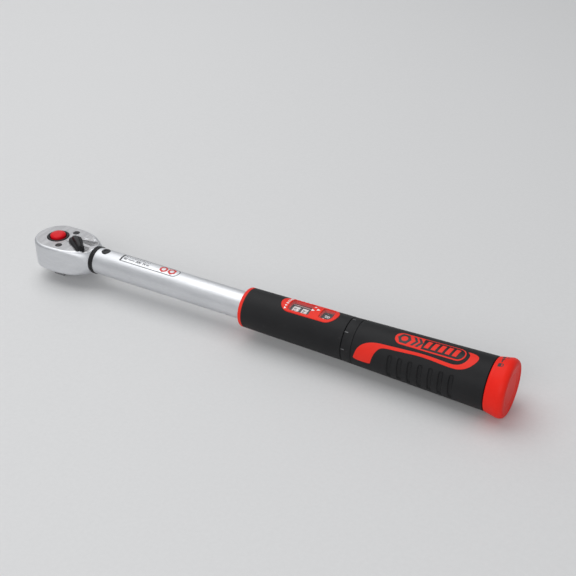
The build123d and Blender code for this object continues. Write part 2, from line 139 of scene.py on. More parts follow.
def apply_stack(piece):
    """Turn the modifier stack, or a curve or text, into the piece's mesh."""
    bpy.context.view_layer.update()
    graph = bpy.context.evaluated_depsgraph_get()
    mesh = bpy.data.meshes.new_from_object(piece.evaluated_get(graph))
    name = piece.name
    if piece.type == "MESH":
        piece.modifiers.clear()
        piece.data = mesh
        return piece
    bpy.data.objects.remove(piece)
    return new_piece(name, mesh)


def outward(mesh, merge=0.002):
    """Merge doubles and point every face outwards."""
    bm = bmesh.new()
    bm.from_mesh(mesh)
    bmesh.ops.remove_doubles(bm, verts=bm.verts, dist=merge * MM)
    bmesh.ops.recalc_face_normals(bm, faces=bm.faces)
    bm.to_mesh(mesh)
    bm.free()


def smooth(piece, angle=32):
    piece.data.shade_smooth()
    piece.data.set_sharp_from_angle(angle=radians(angle))


def settle(piece, body, finish, slot, *replaced):
    """Give a finished piece its materials and body, and hide the nodes it stands for; the slot is not
    used.
    """
    finishes = finish if isinstance(finish, (list, tuple)) else [finish]
    piece.data.materials.clear()
    for material in finishes:
        piece.data.materials.append(material)
    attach(piece, body)
    if replaced:
        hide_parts(*replaced)
    return piece


def turned(name, profile, along="X", centre=(0, 0, 0), rounding=0.0, steps=96):
    """Solid turned from a closed profile of (place along the axis, radius)."""
    if along == "X":
        corners = [(a, r, 0) for a, r in profile]
    else:
        corners = [(r, 0, a) for a, r in profile]
    count = len(corners)
    edges = [(i, (i + 1) % count) for i in range(count)]
    piece = new_piece(name, mesh_from(name, corners, [], edges))
    add_modifier(piece, "SCREW", axis=along, angle=2 * pi, steps=steps, render_steps=steps,
                 use_merge_vertices=True, merge_threshold=0.001 * MM)
    apply_stack(piece)
    outward(piece.data)
    if rounding:
        round_edges(piece, rounding)
        apply_stack(piece)
    piece.data.transform(shifted(*centre))
    smooth(piece)
    return piece


def turned_about_axis(name, profile, **settings):
    return turned(name, profile, "X", (0, 0, AXIS), **settings)


def post_turned(name, x, y, profile, **settings):
    return turned(name, profile, "Z", (x, y, 0), **settings)


def arc(centre, radius, start, end, count):
    """Points of an arc between two angles in degrees, both ends included."""
    angles = [radians(start + (end - start) * i / count) for i in range(count + 1)]
    return [(centre[0] + radius * cos(a), centre[1] + radius * sin(a)) for a in angles]


def closed_grid(name, rings):
    """Closed mesh through rings of points, with the last ring joined to the first."""
    across = len(rings[0])
    faces = []
    for i in range(len(rings)):
        after = (i + 1) % len(rings)
        for k in range(across):
            beside = (k + 1) % across
            faces.append((i * across + k, i * across + beside,
                          after * across + beside, after * across + k))
    corners = [corner for ring in rings for corner in ring]
    piece = new_piece(name, mesh_from(name, corners, faces))
    outward(piece.data, merge=0.0005)
    return piece


def quarter_turn(count):
    """Angles from 0 to 90 degrees, in radians."""
    return [radians(90) * k / count for k in range(count + 1)]


def round_corners(corners, count):
    """Outline through four corner arcs (x, v, radius), from +X +V round towards -X."""
    return [point for i, (x, v, radius) in enumerate(corners)
            for point in arc((x, v), radius, 90 * i, 90 * i + 90, count)]


def rounded_box_outline(x0, x1, v0, v1, radius, count=6):
    """Outline of a rectangle with round corners, in plan coordinates."""
    left, right, low, high = x0 + radius, x1 - radius, v0 + radius, v1 - radius
    return round_corners([(right, high, radius), (left, high, radius),
                          (left, low, radius), (right, low, radius)], count)


def ring_outline(x, v, radius, corners, turn=0.0):
    return [(x + radius * cos(radians(turn) + 2 * pi * i / corners),
             v + radius * sin(radians(turn) + 2 * pi * i / corners)) for i in range(corners)]


def plate(name, outlines, thickness, edge=0.0):
    """Flat plate in plan; outlines inside another one are holes. Its middle is at z = 0."""
    curve = set_all(bpy.data.curves.new(name, "CURVE"), dimensions="2D", fill_mode="BOTH",
                    extrude=(thickness / 2 - edge) * MM, bevel_depth=edge * MM,
                    bevel_resolution=1, offset=-edge * MM)
    for outline in outlines:
        spline = curve.splines.new("POLY")
        spline.points.add(len(outline) - 1)
        for point, (x, v) in zip(spline.points, outline):
            point.co = (x * MM, v * MM, 0, 1)
        spline.use_cyclic_u = True
    return apply_stack(new_piece(name, curve))


def mark(name, *outlines):
    """Printed mark of any outline."""
    return plate(name, outlines, INK)


def bar(name, x0, x1, v0, v1, radius=0.1, count=2):
    """Printed bar with round corners."""
    return mark(name, rounded_box_outline(x0, x1, v0, v1, radius, count))


def lettering(name, text, height, x, v, turn=0.0):
    """Generic figures as a thin plate, middle at (x, v), turned in plan."""
    curve = set_all(bpy.data.curves.new(name, "FONT"), body=text, size=height * 1.4 * MM,
                    align_x="CENTER", align_y="CENTER", extrude=INK / 2 * MM,
                    offset=0.03 * height * MM)
    piece = apply_stack(new_piece(name, curve))
    piece.data.transform(shifted(x, v, 0) @ Matrix.Rotation(radians(turn), 4, "Z"))
    return piece


def join(name, pieces):
    """One mesh from several plates, each keeping its own material index."""
    bm = bmesh.new()
    for piece in pieces:
        bm.from_mesh(piece.data)
        bpy.data.objects.remove(piece)
    mesh = bpy.data.meshes.new(name)
    bm.to_mesh(mesh)
    bm.free()
    return new_piece(name, mesh)


def slice_plan(mesh, step):
    """Cut a flat plate into strips, so that it can bend round the wrench."""
    bm = bmesh.new()
    bm.from_mesh(mesh)
    low = min(v.co.y for v in bm.verts)
    high = max(v.co.y for v in bm.verts)
    cut = low + step * MM
    while cut < high:
        everything = bm.verts[:] + bm.edges[:] + bm.faces[:]
        bmesh.ops.bisect_plane(bm, geom=everything, plane_co=(0, cut, 0), plane_no=(0, 1, 0))
        cut += step * MM
    bm.to_mesh(mesh)
    bm.free()


def as_function(radius):
    return radius if callable(radius) else (lambda x: radius)


def wrap(piece, radius, middle=0.0, step=1.0, map_radius=None):
    """Bend a plan plate round the axis. radius is a number or a function of x, middle is in
    degrees from the top towards -Y, and plan +v runs towards +Y."""
    slice_plan(piece.data, step)
    skin = as_function(radius)
    low = min(v.co.x for v in piece.data.vertices) / MM
    mapped = map_radius or skin(low)
    for vertex in piece.data.vertices:
        x, v, z = vertex.co / MM
        angle = v / mapped - radians(middle)
        r = skin(x) + z
        vertex.co = Vector((x, r * sin(angle), AXIS + r * cos(angle))) * MM
    smooth(piece)
    return piece


# ---- shader groups shared by the finishes ----
def group_shell(name, scale, *outputs):
    """Empty shader group with a vector, a scale and number outputs."""
    tree = bpy.data.node_groups.new(name, "ShaderNodeTree")
    number = {"socket_type": "NodeSocketFloat"}
    tree.interface.new_socket(name="Vector", in_out="INPUT", socket_type="NodeSocketVector")
    tree.interface.new_socket(name="Scale", in_out="INPUT", **number).default_value = scale
    for label in outputs:
        tree.interface.new_socket(name=label, in_out="OUTPUT", **number)
    return tree, tree.nodes.new("NodeGroupInput"), tree.nodes.new("NodeGroupOutput")


def node(tree, kind, values=None, **attributes):
    made = set_all(tree.nodes.new("ShaderNode" + kind), **attributes)
    for key, value in (values or {}).items():
        made.inputs[key].default_value = value
    return made


def scaled(tree, vector, scale):
    """Vector times (x, y, z), for stretched patterns."""
    mapping = node(tree, "Mapping", {"Scale": scale})
    tree.links.new(vector, mapping.inputs["Vector"])
    return mapping.outputs["Vector"]


def ramp(tree, value, low, high, to_low=0.0, to_high=1.0):
    """Map Range from (low, high) to (to_low, to_high)."""
    made = node(tree, "MapRange", {"From Min": low, "From Max": high,
                                   "To Min": to_low, "To Max": to_high})
    tree.links.new(value, made.inputs["Value"])
    return made.outputs["Result"]


def combine(tree, operation, first, second):
    made = node(tree, "Math", operation=operation)
    for index, value in enumerate((first, second)):
        if isinstance(value, (int, float)):
            made.inputs[index].default_value = value
        else:
            tree.links.new(value, made.inputs[index])
    return made.outputs[0]


def feed(tree, source, texture, finer=1.0):
    """Give a texture the group's vector, and its scale times finer."""
    tree.links.new(source.outputs["Vector"], texture.inputs["Vector"])
    scale = source.outputs["Scale"]
    if finer != 1.0:
        scale = combine(tree, "MULTIPLY", scale, finer)
    tree.links.new(scale, texture.inputs["Scale"])


def give(tree, sink, **results):
    for label, result in results.items():
        tree.links.new(result, sink.inputs[label])


def weighted(tree, first, first_share, second, second_share):
    """Two masks added up, each times its share."""
    return combine(tree, "ADD", combine(tree, "MULTIPLY", first, first_share),
                   combine(tree, "MULTIPLY", second, second_share))


def make_grain_group():
    """Fine spark-eroded mould texture: pits between soft bumps."""
    tree, source, sink = group_shell("mould_grain", 1500.0, "Height", "Tone")
    cells = node(tree, "TexVoronoi", feature="SMOOTH_F1")
    fine = node(tree, "TexNoise", {"Detail": 3.0, "Roughness": 0.6})
    feed(tree, source, cells)
    feed(tree, source, fine)
    height = combine(tree, "ADD", cells.outputs["Distance"], fine.outputs["Fac"])
    give(tree, sink, Height=height, Tone=ramp(tree, fine.outputs["Fac"], 0.3, 0.7))
    return tree


def make_brush_group():
    """Fine parallel scratches, for a vector that is already stretched."""
    tree, source, sink = group_shell("brush_lines", 900.0, "Height", "Tone")
    lines = node(tree, "TexNoise", {"Detail": 4.0, "Roughness": 0.7})
    broad = node(tree, "TexNoise", {"Detail": 2.0, "Roughness": 0.5})
    feed(tree, source, lines)
    feed(tree, source, broad, finer=0.18)
    total = combine(tree, "ADD", lines.outputs["Fac"], broad.outputs["Fac"])
    give(tree, sink, Height=lines.outputs["Fac"], Tone=ramp(tree, total, 0.7, 1.3))
    return tree


def make_handling_group():
    """Broad smudges and a few small specks that come with use."""
    tree, source, sink = group_shell("handling_marks", 30.0, "Smudge", "Speck")
    cloud = node(tree, "TexNoise", {"Detail": 5.0, "Roughness": 0.62, "Distortion": 0.6})
    specks = node(tree, "TexNoise", {"Detail": 2.0, "Roughness": 0.4})
    feed(tree, source, cloud)
    feed(tree, source, specks, finer=14.0)
    give(tree, sink, Smudge=ramp(tree, cloud.outputs["Fac"], 0.35, 0.7),
         Speck=ramp(tree, specks.outputs["Fac"], 0.68, 0.76))
    return tree


GRAIN = make_grain_group()
BRUSH = make_brush_group()
HANDLING = make_handling_group()


# ---- finishes ----
def start_material(name, **shader_values):
    material = bpy.data.materials.new(name)
    material.use_nodes = True
    tree = material.node_tree
    shader = tree.nodes["Principled BSDF"]
    for key, value in shader_values.items():
        shader.inputs[key.replace("_", " ")].default_value = value
    place = node(tree, "TexCoord").outputs["Object"]
    return material, tree, shader, place


def use_group(tree, group, vector, scale):
    made = tree.nodes.new("ShaderNodeGroup")
    made.node_tree = group
    made.inputs["Scale"].default_value = scale
    tree.links.new(vector, made.inputs["Vector"])
    return made.outputs


def add_bump(tree, shader, height, strength, distance):
    bump = node(tree, "Bump", {"Strength": strength, "Distance": distance * MM})
    tree.links.new(height, bump.inputs["Height"])
    tree.links.new(bump.outputs["Normal"], shader.inputs["Normal"])


def roughen(tree, shader, mask, low, high):
    tree.links.new(ramp(tree, mask, 0.0, 1.0, low, high), shader.inputs["Roughness"])


def colour_between(tree, shader, mask, first, second):
    mix = node(tree, "Mix", data_type="RGBA")
    tree.links.new(mask, mix.inputs["Factor"])
    mix.inputs[6].default_value = (*first, 1)
    mix.inputs[7].default_value = (*second, 1)
    tree.links.new(mix.outputs[2], shader.inputs["Base Color"])


def satin_metal(name, dark, light, rough, lines, stretch):
    """Plated or ground steel: faint lines, small changes of tone and gloss."""
    material, tree, shader, place = start_material(name, Metallic=1.0)
    brushed = use_group(tree, BRUSH, scaled(tree, place, stretch), lines)
    marks = use_group(tree, HANDLING, place, 22.0)
    colour_between(tree, shader, brushed["Tone"], dark, light)
    wear = weighted(tree, marks["Smudge"], 0.65, brushed["Tone"], 0.35)
    roughen(tree, shader, wear, *rough)
    add_bump(tree, shader, brushed["Height"], 0.35, 0.01)
    return material


def moulded(name, first, second, rough, grain_scale, depth, specular=0.5):
    """Moulded plastic with a fine grain, slightly uneven in colour and gloss."""
    material, tree, shader, place = start_material(name, Specular_IOR_Level=specular)
    grain = use_group(tree, GRAIN, place, grain_scale)
    marks = use_group(tree, HANDLING, place, 28.0)
    colour_between(tree, shader, marks["Smudge"], first, second)
    gloss = weighted(tree, marks["Smudge"], 0.6, grain["Tone"], 0.4)
    roughen(tree, shader, gloss, *rough)
    add_bump(tree, shader, grain["Height"], 0.5, depth)
    return material


def soft_black(name):
    """Soft rubber cover: matt, finely grained, a little dusty where it is handled."""
    material, tree, shader, place = start_material(name, Specular_IOR_Level=0.22)
    grain = use_group(tree, GRAIN, place, 2600.0)
    marks = use_group(tree, HANDLING, place, 16.0)
    dust = weighted(tree, marks["Smudge"], 0.7, marks["Speck"], 0.9)
    colour_between(tree, shader, dust, (0.010, 0.010, 0.011), (0.019, 0.019, 0.020))
    gloss = weighted(tree, marks["Smudge"], 0.5, grain["Tone"], 0.5)
    roughen(tree, shader, gloss, 0.48, 0.62)
    add_bump(tree, shader, grain["Height"], 0.6, 0.02)
    return material


def printed(name, colour, rough=0.45):
    """Pad-printed ink, a little thin in places."""
    material, tree, shader, place = start_material(name)
    marks = use_group(tree, HANDLING, place, 160.0)
    faded = tuple(min(1.0, c * 1.12 + 0.01) for c in colour)
    colour_between(tree, shader, marks["Smudge"], colour, faded)
    roughen(tree, shader, marks["Smudge"], rough, rough + 0.12)
    return material


def clear_window(name):
    """Thin clear plastic with faint wiping marks."""
    material, tree, shader, place = start_material(name, Specular_IOR_Level=0.2, Alpha=0.05)
    marks = use_group(tree, HANDLING, place, 60.0)
    colour_between(tree, shader, marks["Smudge"], (0.80, 0.82, 0.84), (0.86, 0.88, 0.90))
    roughen(tree, shader, marks["Smudge"], 0.05, 0.16)
    return material


def paper_floor(name):
    material, tree, shader, place = start_material(name)
    marks = use_group(tree, GRAIN, place, 300.0)
    colour_between(tree, shader, marks["Tone"], (0.70, 0.70, 0.70), (0.72, 0.72, 0.72))
    shader.inputs["Roughness"].default_value = 0.75
    return material


CHROME = satin_metal("satin_chrome", (0.66, 0.67, 0.69), (0.74, 0.75, 0.77), (0.42, 0.50), 700.0,
                     (0.25, 1.0, 1.0))
# Also laid on the head's trench walls, where its darker tone is partly the milled finish and partly
# painted shade.
FLAT_AND_WALL_SHADE = satin_metal("brushed_flat_and_wall_shade", (0.40, 0.40, 0.41), (0.56, 0.56, 0.57), (0.36, 0.46), 1500.0,
                   (1.0, 0.06, 1.0))
STEEL = satin_metal("ground_steel", (0.38, 0.38, 0.39), (0.55, 0.55, 0.56), (0.28, 0.42), 1100.0,
                    (1.0, 1.0, 0.12))
BLACKENED = moulded("black_oxide", (0.012, 0.012, 0.013), (0.020, 0.020, 0.022), (0.34, 0.46),
                    3000.0, 0.008, 0.3)
GLOSS_BLACK = moulded("lever_black", (0.008, 0.008, 0.009), (0.014, 0.014, 0.015), (0.30, 0.42),
                      2200.0, 0.010, 0.25)
SCALE_BLACK = moulded("scale_black", (0.020, 0.020, 0.021), (0.026, 0.026, 0.027), (0.40, 0.50),
                      2000.0, 0.006, 0.2)
SOFT_BLACK = soft_black("soft_cover")
RED = moulded("signal_red", (0.82, 0.024, 0.012), (0.88, 0.034, 0.018), (0.44, 0.56),
              2400.0, 0.012, 0.25)
CAP_RED = moulded("cap_red", (0.84, 0.018, 0.010), (0.90, 0.026, 0.014), (0.42, 0.52),
                  2600.0, 0.006, 0.14)
BUTTON_RED = moulded("button_red", (0.68, 0.001, 0.008), (0.74, 0.003, 0.012), (0.30, 0.40),
                     1800.0, 0.004, 0.2)
SCALE_WHITE = moulded("scale_white", (0.78, 0.78, 0.76), (0.84, 0.84, 0.82), (0.38, 0.50),
                      2000.0, 0.006)
CREAM = moulded("bush_cream", (0.62, 0.60, 0.52), (0.70, 0.68, 0.60), (0.40, 0.50), 2000.0, 0.006)
INK_BLACK = printed("ink_black", (0.014, 0.014, 0.016))
INK_WHITE = printed("ink_white", (0.82, 0.82, 0.82))
INK_RED = printed("ink_red", (0.62, 0.018, 0.014))
INK_GREY = printed("ink_grey", (0.16, 0.16, 0.165))
WINDOW = clear_window("window_clear")
FLOOR = paper_floor("pale_floor")

NODE_FINISH = {"tube": CHROME, "hub_pins": BLACKENED, "front_sleeve": SOFT_BLACK,
               "grip_core": SOFT_BLACK, "fine_scale_drum": SCALE_BLACK, "front_bush": CREAM,
               "rear_bush": CREAM}


def finish_nodes():
    """The CAD nodes get their finishes; the rest of the mechanism is ground steel."""
    for name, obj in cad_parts.items():
        for mesh_slot in obj.material_slots:
            mesh_slot.material = NODE_FINISH.get(name, STEEL)


# ---- ratchet head ----
HEAD_END = NECK_X0 - 0.8  # shoulder in front of the neck ring
NECK_R = 13.8
HEAD_EDGE = 3.0  # rounding of the top and bottom edges at the front
SHOULDER_EDGE = 0.8  # and at the shoulder
BLEND_X, BLEND_POWER = 22, 2.6  # where and how fast that rounding grows towards the neck
THIN_X = 30  # the forging thins towards the neck from here
CHEEK_X = 8.0  # the cheeks are straight up to here
ARC_R = ((HEAD_END - CHEEK_X) ** 2 + (HEAD_R - NECK_R) ** 2) / (2 * (HEAD_R - NECK_R))
HOLE_R = RING_R + 0.2
TRENCH = (15.0, 45.2, 1.8)  # lever ramp: start, end, depth at the end
TRENCH_WALL = 0.6  # width of its sloping wall
TRENCH_HALF, TRENCH_SPREAD = 5.0, 0.29  # half width at the start, and its growth
TRENCH_BOW = 11.0  # the end wall bows more as this gets smaller
FLANK_STEPS, CHEEK_STEPS, NOSE_STEPS, SHOULDER_STEPS = 90, 8, 48, 24
EDGE_STEPS, FLAT_STEPS = 9, 70
MILLED_BAND = 2.2  # the milled faces lie this close to the top


def half_width(x):
    """Half width of the head's plan."""
    if x < 0:
        return sqrt(max(HEAD_R ** 2 - x * x, 0.0))
    if x < CHEEK_X:
        return HEAD_R
    return HEAD_R - ARC_R + sqrt(ARC_R ** 2 - (x - CHEEK_X) ** 2)


def edge_radius(x):
    """Rounding of the top and bottom edges, which grows into the round neck."""
    t = min(max((x - BLEND_X) / (HEAD_END - BLEND_X), 0.0), 1.0)
    return HEAD_EDGE + (NECK_R - HEAD_EDGE) * t ** BLEND_POWER


def body_height(x, y):
    """Top surface of the forging above its mid plane, before the trench."""
    inset = HEAD_R - hypot(x, y) if x < 0 else half_width(x) - abs(y)
    r = edge_radius(x)
    drop = 0.0
    if inset < r:
        drop = r - sqrt(max(r * r - (r - max(inset, 0.0)) ** 2, 0.0))
    thinner = min(max((x - THIN_X) / (HEAD_END - THIN_X), 0.0), 1.0)
    return HEAD_TOP / 2 - (HEAD_TOP / 2 - NECK_R) * thinner - drop


def trench_height(x, y):
    """The ramp that the lever swings over, with sloping side and end walls."""
    start, end, depth = TRENCH
    side = abs(y) - (TRENCH_HALF + TRENCH_SPREAD * (x - start))
    wall = max(side, x - end + (y / TRENCH_BOW) ** 2, 0.0) / TRENCH_WALL
    full = depth * max(x - start, 0.0) / (HEAD_END - start)
    return HEAD_TOP / 2 - full * (1 - min(wall, 1.0))


def head_plan():
    """Closed plan outline: (x, y, inward normal x, inward normal y, rounding)."""
    points = []
    for i in range(FLANK_STEPS + 1):
        x = HEAD_END - (HEAD_END - CHEEK_X) * i / FLANK_STEPS
        slope = atan2(x - CHEEK_X, ARC_R)
        points.append((x, half_width(x), -sin(slope), -cos(slope), edge_radius(x)))
    for i in range(1, CHEEK_STEPS):
        points.append((CHEEK_X * (1 - i / CHEEK_STEPS), HEAD_R, 0.0, -1.0, HEAD_EDGE))
    for i in range(NOSE_STEPS + 1):
        angle = pi / 2 + pi * i / (2 * NOSE_STEPS)
        c, s = cos(angle), sin(angle)
        points.append((HEAD_R * c, HEAD_R * s, -c, -s, HEAD_EDGE))
    mirrored = [(x, -y, nx, -ny, r) for x, y, nx, ny, r in reversed(points[:-1])]
    shoulder = [(HEAD_END, NECK_R * (2 * i / SHOULDER_STEPS - 1), -1.0, 0.0, SHOULDER_EDGE)
                for i in range(1, SHOULDER_STEPS)]
    return points + mirrored + shoulder


def head_column(x, y, nx, ny, r):
    """Points of one column, from the button's hole over the edge to the drive's hole."""
    angle = atan2(y, x)
    inner = Vector((HOLE_R * cos(angle), HOLE_R * sin(angle)))
    insets = [r * (1 - cos(a)) for a in quarter_turn(EDGE_STEPS)]
    plan = [Vector((x + nx * inset, y + ny * inset)) for inset in insets]
    rim = plan[-1]
    for k in range(1, FLAT_STEPS + 1):
        plan.append(rim.lerp(inner, k / FLAT_STEPS))
    middle = HEAD_TOP / 2
    top = [(p.x, p.y, middle + min(body_height(p.x, p.y), trench_height(p.x, p.y))) for p in plan]
    low = [(p.x, p.y, middle - body_height(p.x, p.y)) for p in plan]
    return list(reversed(top)) + low


def head_body():
    """Forged head with the milled top flat, one closed mesh."""
    piece = closed_grid("head_body", [head_column(*station) for station in head_plan()])
    smooth(piece, 28)
    settle(piece, "head", [CHROME, FLAT_AND_WALL_SHADE], "satin_steel", "ratchet_head", "cover_plate")
    for polygon in piece.data.polygons:
        x, y, z = polygon.center / MM
        level = polygon.normal.z > 0.985
        sunk = trench_height(x, y) + HEAD_TOP / 2 < HEAD_TOP - 0.02
        # Trench faces, walls included, take the darker brushed finish: partly the milled finish, partly
        # painted shade that dulls the walls' highlight.
        trench_milled_and_shaded = sunk and TRENCH[0] < x < TRENCH[1]
        if z > HEAD_TOP - MILLED_BAND and (level or trench_milled_and_shaded):
            polygon.material_index = 1


def head_shank():
    reach = box_mm("ratchet_head")[1].x
    profile = [(HEAD_END - 4, 0), (reach, 0), (reach, 8), (HEAD_END - 4, 10.6)]
    piece = turned_about_axis("head_shank", profile, rounding=0.4)
    settle(piece, "head", STEEL, "satin_steel")


def cover_screws():
    low, high = box_mm("cover_screws")
    radius = (high.x - low.x) / 2
    x = low.x + radius
    top = HEAD_TOP + 0.25
    crown = 2.2  # flat middle of the head, inside the rounding
    for side, y in (("near", low.y + radius), ("far", high.y - radius)):
        dome = arc((0, 0), 1.0, 90, 0, 8)
        profile = [(top - 3.5, 0), (top - 3.5, radius)]
        profile += [(top - 0.5 + 0.5 * b, crown + (radius - crown) * a)
                    for a, b in reversed(dome)]
        profile += [(top - 0.19, 1.8), (top - 0.21, 0)]
        piece = post_turned("cover_screw_" + side, x, y, profile, steps=48)
        replaced = ("cover_screws",) if side == "near" else ()
        settle(piece, "head", BLACKENED, "black_steel", *replaced)


# ---- release button and its ring ----
def button_ring():
    low, high = box_mm("button_ring")
    r0, r1, top = BUTTON_R + 0.3, RING_R, high.z
    profile = [(low.z, r0), (top - 0.9, r0), (top - 0.15, r0 + 0.7), (top, r0 + 1.2),
               (top, r1 - 0.9), (top - 0.35, r1 - 0.2), (top - 0.9, r1), (low.z, r1)]
    piece = post_turned("button_ring_moulded", 0, 0, profile, rounding=0.15)
    settle(piece, "drive", GLOSS_BLACK, "black_gloss", "button_ring")


def release_button():
    low, high = box_mm("release_button")
    flange = radius_of("release_button")
    rise = 2.5  # of the dome
    flange_top = low.z + 2.4
    dome = [(high.z - rise + rise * sin(a), BUTTON_R * cos(a) ** 0.8) for a in quarter_turn(14)]
    dome[-1] = (high.z, 0)
    profile = [(low.z, 0), (low.z, flange), (flange_top, flange), (flange_top, BUTTON_R)] + dome
    piece = post_turned("release_button_domed", 0, 0, profile)
    settle(piece, "button", BUTTON_RED, "red_button", "release_button")


# ---- reversing lever ----
LEVER_REST = -38  # degrees from the wrench's axis to the lever at rest
# stations along the lever: place, half width, shoulder height, ridge height
LEVER_STATIONS = [(-6.6, 3.6, 1.6, 2.2), (-5.6, 5.2, 2.6, 3.6), (-2.5, 6.4, 3.2, 4.8),
                  (2.5, 6.3, 3.2, 5.3), (8.0, 5.5, 3.0, 5.4), (13.5, 4.8, 2.9, 5.4),
                  (17.2, 4.5, 3.0, 5.4), (19.2, 4.1, 2.7, 4.5), (20.2, 3.3, 2.0, 2.8)]
# across the lever: share of half width, share of shoulder height, share of ridge height
LEVER_ACROSS = [(-1.0, 0.0, 0.0), (-1.0, 0.55, 0.0), (-0.54, 1.0, 0.0), (-0.46, 0.80, 0.0),
                (-0.38, 0.0, 0.80), (-0.28, 0.0, 1.0), (0.28, 0.0, 1.0), (0.38, 0.0, 0.80),
                (0.46, 0.80, 0.0), (0.54, 1.0, 0.0), (1.0, 0.55, 0.0), (1.0, 0.0, 0.0)]


def reverse_lever():
    """Wedge with a raised thumb ridge, turned to its rest side."""
    base = box_mm("reverse_lever")[0].z
    corners = []
    for u, half, shoulder, ridge in LEVER_STATIONS:
        for share, low, high in LEVER_ACROSS:
            corners.append((u, share * half, low * shoulder + high * ridge))
    across = len(LEVER_ACROSS)
    faces = []
    for i in range(len(LEVER_STATIONS) - 1):
        for k in range(across):
            after = (k + 1) % across
            faces.append((i * across + k, (i + 1) * across + k,
                          (i + 1) * across + after, i * across + after))
    last = (len(LEVER_STATIONS) - 1) * across
    faces.append(tuple(range(across)))
    faces.append(tuple(last + k for k in reversed(range(across))))
    piece = new_piece("reverse_lever_moulded", mesh_from("lever", corners, faces))
    outward(piece.data)
    round_edges(piece, 0.4, 22)
    apply_stack(piece)
    place = shifted(LEVER_PIVOT.x, 0, base)
    piece.data.transform(place @ Matrix.Rotation(radians(LEVER_REST), 4, "Z"))
    smooth(piece, 50)
    settle(piece, "lever", GLOSS_BLACK, "black_gloss", "reverse_lever")


# ---- coil springs ----
def coil_spring(name, radius, wire, length, turns):
    """Round wire wound about +Z, between the two ends of its own height."""
    curve = set_all(bpy.data.curves.new(name, "CURVE"), dimensions="3D", bevel_depth=wire * MM,
                    bevel_resolution=3, use_fill_caps=True)
    spline = curve.splines.new("POLY")
    count = int(24 * turns)
    spline.points.add(count)
    for i, point in enumerate(spline.points):
        angle = 2 * pi * turns * i / count
        height = wire + (length - 2 * wire) * i / count
        point.co = (radius * cos(angle) * MM, radius * sin(angle) * MM, height * MM, 1)
    piece = apply_stack(new_piece(name, curve))
    outward(piece.data)
    smooth(piece, 60)
    return piece


def main_spring():
    low, high = box_mm("main_spring")
    wire, turns, travel = 2.1, 18, 8.0
    length = high.x - low.x
    piece = coil_spring("main_spring_wound", (high.z - low.z) / 2 - wire, wire, length, turns)
    piece.data.transform(shifted(low.x, 0, AXIS) @ Matrix.Rotation(radians(90), 4, "Y"))
    settle(piece, "wrench_body", STEEL, "spring_steel", "main_spring")
    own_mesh(piece)


def release_spring():
    low, high = box_mm("release_spring")
    wire, turns, travel = 0.45, 3.5, 2.5
    height = high.z - low.z
    piece = coil_spring("release_spring_wound", (high.x - low.x) / 2 - wire, wire, height, turns)
    piece.data.transform(shifted(0, 0, low.z))
    settle(piece, "drive", STEEL, "spring_steel", "release_spring")
    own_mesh(piece)


# ---- neck, pin and label on the tube ----
def neck_ring():
    r1, r0 = radius_of("neck_ring"), 11.8
    profile = [(NECK_X0, r0), (NECK_X0, r1 - 0.6), (NECK_X0 + 0.6, r1), (NECK_X0 + 1.7, r1),
               (NECK_X0 + 2.0, r1 - 0.3), (NECK_X0 + 2.3, r1), (NECK_X1 - 0.5, r1),
               (NECK_X1, r1 - 0.4), (NECK_X1, r0)]
    piece = turned_about_axis("neck_ring_moulded", profile, rounding=0.12)
    settle(piece, "wrench_body", GLOSS_BLACK, "black_gloss", "neck_ring")


def pivot_pin():
    low, high = box_mm("pivot_pin")
    r = (high.x - low.x) / 2
    x = (low.x + high.x) / 2
    profile = [(low.z, 0), (low.z, r - 0.6), (low.z + 0.6, r), (high.z - 0.7, r),
               (high.z - 0.15, r - 0.45), (high.z, r - 0.9), (high.z - 0.05, 2.2),
               (high.z - 0.7, 1.5), (high.z - 0.8, 0)]
    piece = post_turned("pivot_pin_blackened", x, 0, profile, rounding=0.12, steps=64)
    settle(piece, "wrench_body", BLACKENED, "black_steel", "pivot_pin")


def label_rows(x0):
    """Two rows of unit figures and a short graduated rule."""
    marks = [lettering(name, text, 2.8, x0 + place, -2.0) for name, text, place in
             (("label_low", "40", 5.0), ("label_high", "200", 20.5), ("label_unit", "N m", 29.5))]
    marks.append(bar("label_dash", x0 + 8.8, x0 + 16.0, -2.4, -1.7, 0.25, 6))
    for i in range(15):
        height = 1.7 if i % 5 == 0 else 1.0
        x = x0 + 4 + 2.0 * i
        marks.append(bar("label_tick", x, x + 0.7, 1.2, 1.2 + height))
    return marks


def tube_label():
    low, high = box_mm("tube_label")
    half = (high.y - low.y) / 2

    def outline(margin, line):
        right = arc((high.x - half, 0), half - line, -90, 90, 14)
        return [(low.x + margin, line - half)] + right + [(low.x + margin, half - line)]

    def lay_on(piece, lift, finish, *replaced):
        wrap(piece, TUBE_R + lift, 0, 0.8, TUBE_R)
        settle(piece, "wrench_body", finish, "label_film", *replaced)

    film, print_lift = 0.05, 0.11
    lay_on(plate("label_film_plate", [outline(0, 0)], 0.08), film, CHROME, "tube_label")
    border = mark("label_border", outline(0, 0), outline(1.8, 0.6))
    lay_on(join("label_print", [border] + label_rows(low.x)), print_lift, INK_BLACK)
    nuts = [mark("label_nut", ring_outline(x, 0, 4.7, 6, 30), ring_outline(x, 0, 2.3, 20))
            for x in (low.x + 49.5, low.x + 59.0)]
    lay_on(join("label_nuts", nuts), print_lift, INK_RED)


# ---- sleeve, bezel and windows ----
def sleeve_ring():
    x0, x1 = span_x("sleeve_ring")
    r = SLEEVE_R0
    profile = [(x0, TUBE_R + 0.05), (x0, r - 1.6), (x0 + 0.5, r - 0.5), (x0 + 1.3, r),
               (x1 - 0.3, r), (x1, r - 0.3), (x1, TUBE_R + 0.05)]
    piece = turned_about_axis("sleeve_ring_moulded", profile, rounding=0.2)
    settle(piece, "wrench_body", RED, "red_plastic", "sleeve_ring")


